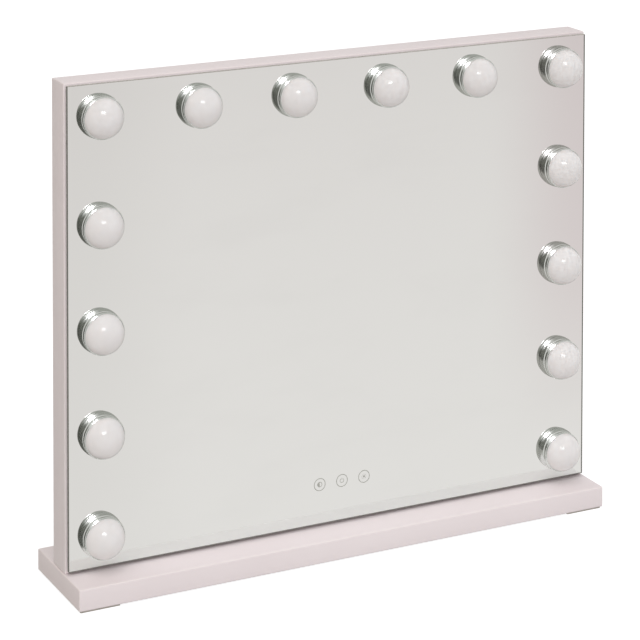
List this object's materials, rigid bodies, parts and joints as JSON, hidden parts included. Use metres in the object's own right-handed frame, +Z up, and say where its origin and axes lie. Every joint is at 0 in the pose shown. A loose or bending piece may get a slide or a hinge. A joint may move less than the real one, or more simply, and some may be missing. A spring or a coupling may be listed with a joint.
{
  "type": "lighted vanity mirror",
  "caption": "Table-top lighted make-up mirror: rectangular glass on a shallow white case and slab base, ringed on the top and both sides by plug-in opal globe bulbs.",
  "frame": {"origin": "centre of the base's footprint, on the plane that its pads stand on", "axes": "+Z up, the mirror faces -Y, +X along the base to the right of a person who faces the mirror"},
  "size_m": [0.58, 0.112, 0.4934],
  "materials": {
    "white_lacquer": "satin white lacquer on fibreboard, very slightly pink",
    "mirror_silver": "silvered float glass with dark polished edges",
    "opal_globe": "opal, glossy, unlit",
    "chrome": "bright chrome plating on plastic",
    "pad_foam": "thin dense foam",
    "tape_foam": "double-sided foam tape",
    "hardboard": "painted hardboard",
    "circuit_board": "green solder mask",
    "black_plastic": "moulded",
    "cable_sheath": "soft sheath",
    "screw_steel": "zinc plated"
  },
  "bodies": {
    "mirror_stand": {"base_slab": "white_lacquer", "case_frame": "white_lacquer", "back_panel": "hardboard", "mirror_glass": "mirror_silver", "mirror_tape": "tape_foam", "touch_board": "circuit_board", "power_jack": "black_plastic", "wiring_harness": "cable_sheath", "base_screw_left": "screw_steel", "base_screw_right": "screw_steel", "foot_pad_front_left": "pad_foam", "foot_pad_front_right": "pad_foam", "foot_pad_rear_left": "pad_foam", "foot_pad_rear_right": "pad_foam", "back_screw_bottom_left": "screw_steel", "back_screw_bottom_right": "screw_steel", "back_screw_top_left": "screw_steel", "back_screw_top_right": "screw_steel", "socket_top_1": "chrome", "socket_top_2": "chrome", "socket_top_3": "chrome", "socket_top_4": "chrome", "socket_top_5": "chrome", "socket_top_6": "chrome", "socket_left_1": "chrome", "socket_left_2": "chrome", "socket_left_3": "chrome", "socket_left_4": "chrome", "socket_right_1": "chrome", "socket_right_2": "chrome", "socket_right_3": "chrome", "socket_right_4": "chrome"},
    "bulb_top_1": {"globe_top_1": "opal_globe", "bulb_cap_top_1": "chrome"},
    "bulb_top_2": {"globe_top_2": "opal_globe", "bulb_cap_top_2": "chrome"},
    "bulb_top_3": {"globe_top_3": "opal_globe", "bulb_cap_top_3": "chrome"},
    "bulb_top_4": {"globe_top_4": "opal_globe", "bulb_cap_top_4": "chrome"},
    "bulb_top_5": {"globe_top_5": "opal_globe", "bulb_cap_top_5": "chrome"},
    "bulb_top_6": {"globe_top_6": "opal_globe", "bulb_cap_top_6": "chrome"},
    "bulb_left_1": {"globe_left_1": "opal_globe", "bulb_cap_left_1": "chrome"},
    "bulb_left_2": {"globe_left_2": "opal_globe", "bulb_cap_left_2": "chrome"},
    "bulb_left_3": {"globe_left_3": "opal_globe", "bulb_cap_left_3": "chrome"},
    "bulb_left_4": {"globe_left_4": "opal_globe", "bulb_cap_left_4": "chrome"},
    "bulb_right_1": {"globe_right_1": "opal_globe", "bulb_cap_right_1": "chrome"},
    "bulb_right_2": {"globe_right_2": "opal_globe", "bulb_cap_right_2": "chrome"},
    "bulb_right_3": {"globe_right_3": "opal_globe", "bulb_cap_right_3": "chrome"},
    "bulb_right_4": {"globe_right_4": "opal_globe", "bulb_cap_right_4": "chrome"}
  },
  "joints": [
    {"name": "pull_top_1", "type": "slide", "parent": "mirror_stand", "child": "bulb_top_1", "axis": [0, -1, 0], "range_m": [0, 0.02]},
    {"name": "pull_top_2", "type": "slide", "parent": "mirror_stand", "child": "bulb_top_2", "axis": [0, -1, 0], "range_m": [0, 0.02]},
    {"name": "pull_top_3", "type": "slide", "parent": "mirror_stand", "child": "bulb_top_3", "axis": [0, -1, 0], "range_m": [0, 0.02]},
    {"name": "pull_top_4", "type": "slide", "parent": "mirror_stand", "child": "bulb_top_4", "axis": [0, -1, 0], "range_m": [0, 0.02]},
    {"name": "pull_top_5", "type": "slide", "parent": "mirror_stand", "child": "bulb_top_5", "axis": [0, -1, 0], "range_m": [0, 0.02]},
    {"name": "pull_top_6", "type": "slide", "parent": "mirror_stand", "child": "bulb_top_6", "axis": [0, -1, 0], "range_m": [0, 0.02]},
    {"name": "pull_left_1", "type": "slide", "parent": "mirror_stand", "child": "bulb_left_1", "axis": [0, -1, 0], "range_m": [0, 0.02]},
    {"name": "pull_left_2", "type": "slide", "parent": "mirror_stand", "child": "bulb_left_2", "axis": [0, -1, 0], "range_m": [0, 0.02]},
    {"name": "pull_left_3", "type": "slide", "parent": "mirror_stand", "child": "bulb_left_3", "axis": [0, -1, 0], "range_m": [0, 0.02]},
    {"name": "pull_left_4", "type": "slide", "parent": "mirror_stand", "child": "bulb_left_4", "axis": [0, -1, 0], "range_m": [0, 0.02]},
    {"name": "pull_right_1", "type": "slide", "parent": "mirror_stand", "child": "bulb_right_1", "axis": [0, -1, 0], "range_m": [0, 0.02]},
    {"name": "pull_right_2", "type": "slide", "parent": "mirror_stand", "child": "bulb_right_2", "axis": [0, -1, 0], "range_m": [0, 0.02]},
    {"name": "pull_right_3", "type": "slide", "parent": "mirror_stand", "child": "bulb_right_3", "axis": [0, -1, 0], "range_m": [0, 0.02]},
    {"name": "pull_right_4", "type": "slide", "parent": "mirror_stand", "child": "bulb_right_4", "axis": [0, -1, 0], "range_m": [0, 0.02]}
  ]
}
